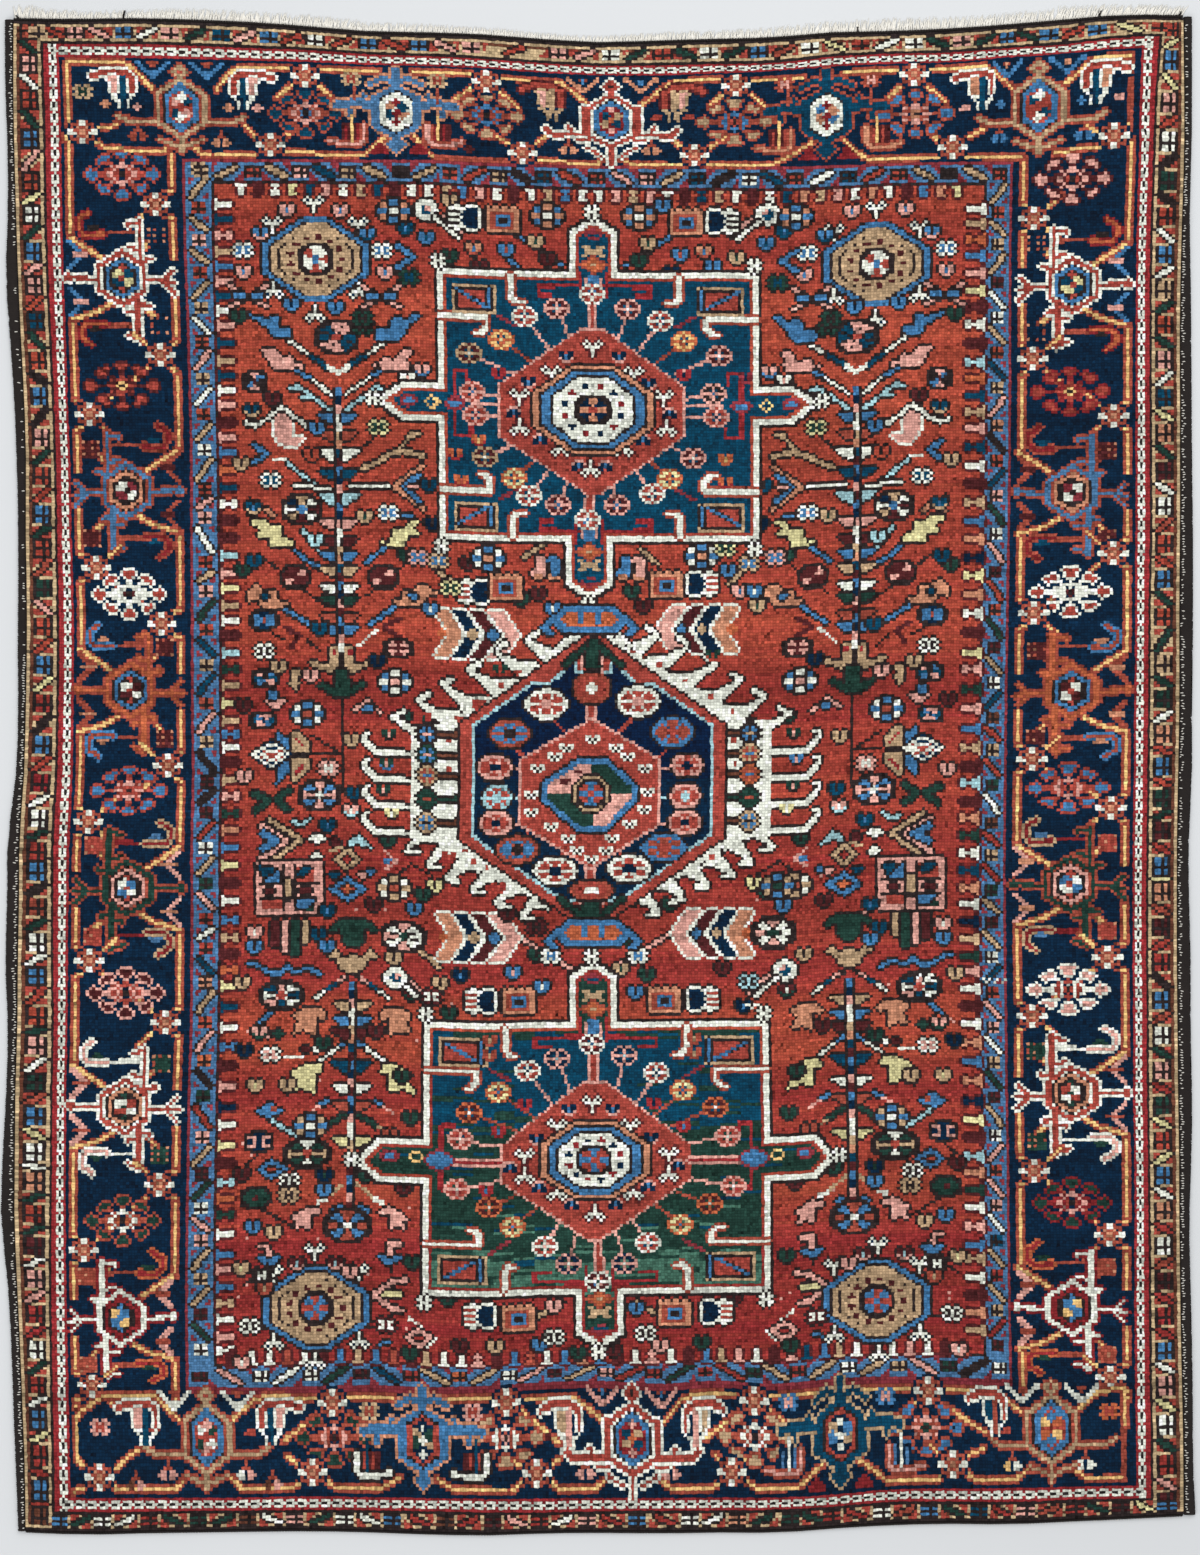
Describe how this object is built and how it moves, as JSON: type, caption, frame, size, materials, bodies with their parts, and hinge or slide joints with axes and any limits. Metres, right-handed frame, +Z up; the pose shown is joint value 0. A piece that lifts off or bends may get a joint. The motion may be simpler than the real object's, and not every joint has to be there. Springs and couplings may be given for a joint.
{
  "type": "persian rug",
  "caption": "Hand-knotted Persian rug lying flat: madder field with medallions and flowers, navy main border, dark overcast sides and a short white fringe at one end.",
  "frame": {"origin": "middle of the rug's footprint, on the floor that it lies on", "axes": "+Z up out of the pile, +Y along the rug's length towards the fringed end, +X across it to the right when the fringed end is at the top"},
  "size_m": [1.4438, 1.8522, 0.0082],
  "materials": {
    "knotted_pile": "short worn wool pile, hand knotted in madder red, navy, light blue, ivory, tan and pink",
    "dark_wool": "black-brown wool yarn, overcast and twisted",
    "warp_cotton": "undyed cotton warp ends, cut short"
  },
  "bodies": {
    "root": {"carpet": "knotted_pile", "binding_left": "dark_wool", "binding_right": "dark_wool", "end_cord_top": "dark_wool", "end_cord_bottom": "dark_wool", "fringe_top": "warp_cotton"}
  },
  "joints": []
}
